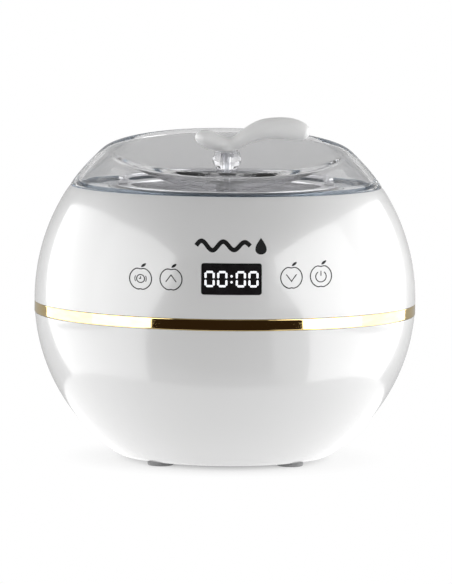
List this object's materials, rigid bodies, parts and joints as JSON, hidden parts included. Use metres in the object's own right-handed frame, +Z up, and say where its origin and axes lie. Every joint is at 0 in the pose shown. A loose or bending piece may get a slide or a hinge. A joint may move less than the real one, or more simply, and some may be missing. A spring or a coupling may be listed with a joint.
{
  "type": "electric wax warmer",
  "caption": "Apple-shaped wax warmer with a lift-out bail-handled pot in a heated well, a gilt band, a touch panel and a clear dished lid with a stem-and-leaf handle.",
  "frame": {"origin": "on the table plane (underside of the rubber feet), under the middle of the housing", "axes": "+Z up, -Y towards the user (the side with the display), +X to the user's right"},
  "size_m": [0.19, 0.19, 0.1718],
  "materials": {
    "white_gloss": "high gloss, moulded, piano white",
    "gilt": "mirror-bright gold plating",
    "clear_lid": "clear, very slightly smoky acrylic, polished",
    "clear_trim": "clear acrylic, polished facets",
    "milk_white": "milky, slightly translucent, glossy",
    "black_lens": "black glossy lens with white digits",
    "pot_aluminium": "spun and polished",
    "well_aluminium": "drawn, satin",
    "steel": "zinc plated or stainless",
    "bail_steel": "bright stainless wire",
    "black_plastic": "matte",
    "rubber_grey": "soft matte",
    "circuit": "green solder mask",
    "felt": "glass-fibre felt",
    "heater": "silicone-clad heating band",
    "contact": "spring and fuse metal",
    "lead": "silicone-sheathed lead"
  },
  "bodies": {
    "housing": {"lower_housing": "white_gloss", "upper_housing": "white_gloss", "foot_front_left": "rubber_grey", "base_screw_front_left": "steel", "post_screw_front_left": "steel", "foot_front_right": "rubber_grey", "base_screw_front_right": "steel", "post_screw_front_right": "steel", "foot_rear_left": "rubber_grey", "base_screw_rear_left": "steel", "post_screw_rear_left": "steel", "foot_rear_right": "rubber_grey", "base_screw_rear_right": "steel", "post_screw_rear_right": "steel", "display_window": "black_lens", "trim_band": "gilt", "heating_well": "well_aluminium", "band_heater": "heater", "felt_sleeve": "felt", "well_seal": "rubber_grey", "support_plate": "steel", "thermostat": "black_plastic", "thermal_fuse": "contact", "temperature_sensor": "steel", "power_board": "circuit", "transformer": "black_plastic", "relay": "black_plastic", "filter_capacitor": "black_plastic", "terminal_block": "circuit", "control_board": "circuit", "display_module": "black_plastic", "buzzer": "black_plastic", "power_inlet": "black_plastic", "inlet_pin_left": "steel", "inlet_pin_right": "steel", "mains_lead": "lead", "heater_lead": "lead", "panel_lead": "lead", "panel_screw_left": "steel", "panel_screw_right": "steel", "board_screw_1": "steel", "touch_spring_1": "contact", "board_screw_2": "steel", "touch_spring_2": "contact", "board_screw_3": "steel", "touch_spring_3": "contact", "board_screw_4": "steel", "touch_spring_4": "contact"},
    "pot": {"inner_pot": "pot_aluminium", "bail_ear_left": "bail_steel", "bail_ear_right": "bail_steel"},
    "bail": {"bail_wire": "bail_steel"},
    "lid": {"lid_cap": "clear_lid", "petal_cup": "clear_trim", "handle_leaf": "milk_white", "handle_post": "clear_trim", "handle_washer": "rubber_grey", "handle_screw": "steel"}
  },
  "joints": [
    {"name": "pot_lift", "type": "slide", "parent": "housing", "child": "pot", "axis": [0, 0, 1], "range_m": [0, 0.09]},
    {"name": "lid_lift", "type": "slide", "parent": "pot", "child": "lid", "axis": [0, 0, 1], "range_m": [0, 0.15]},
    {"name": "bail_swing", "type": "hinge", "parent": "pot", "child": "bail", "pos_m": [0, 0, 0.1394], "axis": [1, 0, 0], "range_deg": [0, 180]}
  ],
  "couplings": [
    {"joint": "bail_swing", "follows": "lid_lift", "rad_per_m": 20.94}
  ]
}
